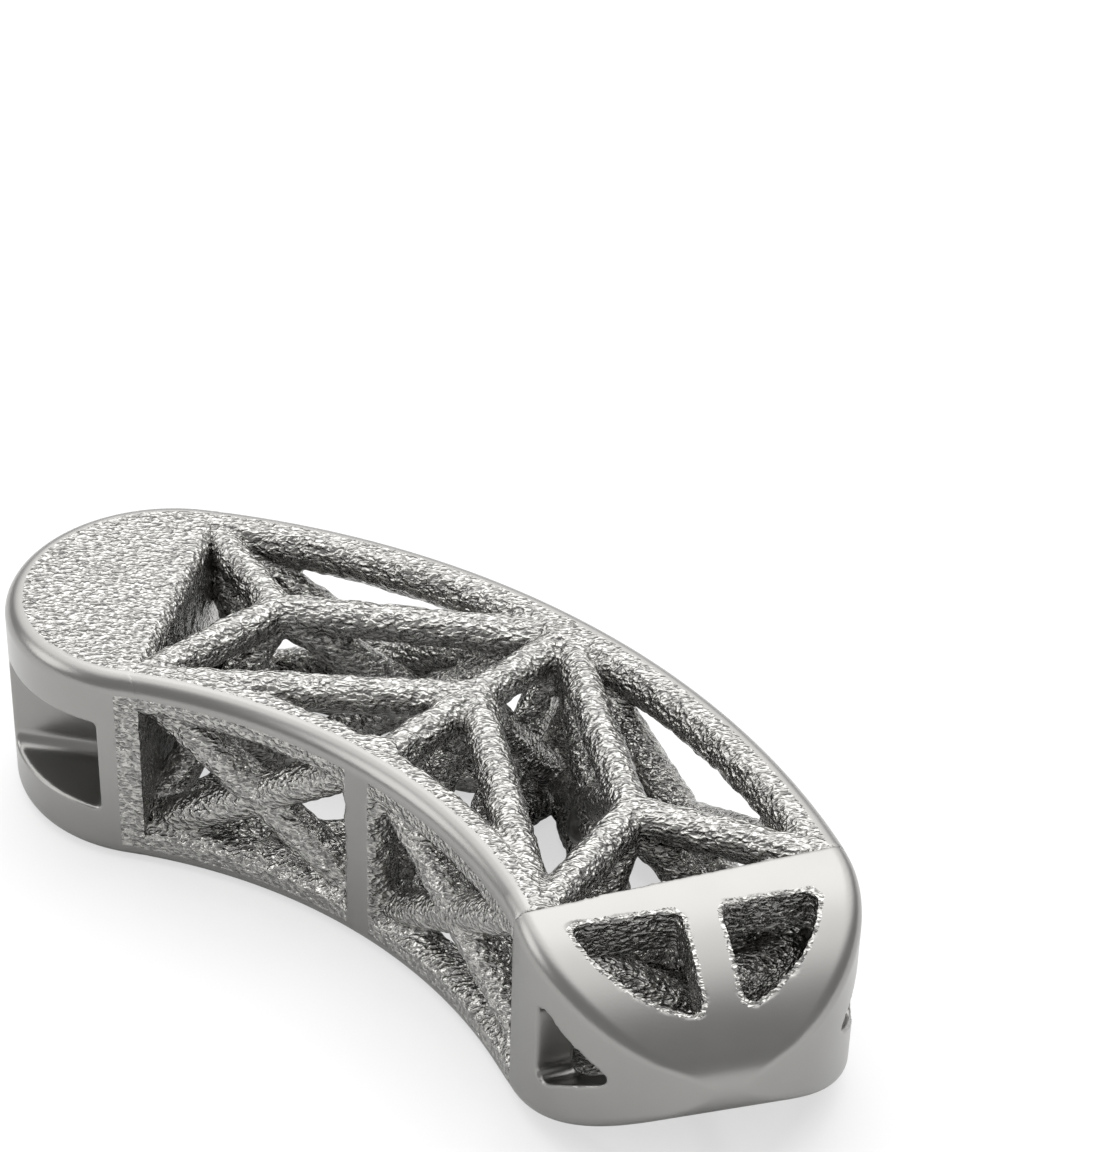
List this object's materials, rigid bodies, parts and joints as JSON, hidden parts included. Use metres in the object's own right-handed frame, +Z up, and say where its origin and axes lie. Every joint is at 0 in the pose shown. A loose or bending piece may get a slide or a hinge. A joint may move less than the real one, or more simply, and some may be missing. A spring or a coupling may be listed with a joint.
{
  "type": "spinal interbody cage",
  "caption": "Curved lumbar interbody cage built up as an open metal truss, with a solid tail block for the inserter and a tapered hollow nose.",
  "frame": {"origin": "middle of the cage's outline seen from above, on the lower endplate face", "axes": "+X from the tail block to the tapered nose, +Y from the concave wall to the convex wall, +Z up, square to the endplate faces"},
  "size_m": [0.0312, 0.013, 0.007],
  "materials": {
    "titanium": "as built, satin"
  },
  "bodies": {
    "root": {"interbody_cage": "titanium"}
  },
  "joints": []
}
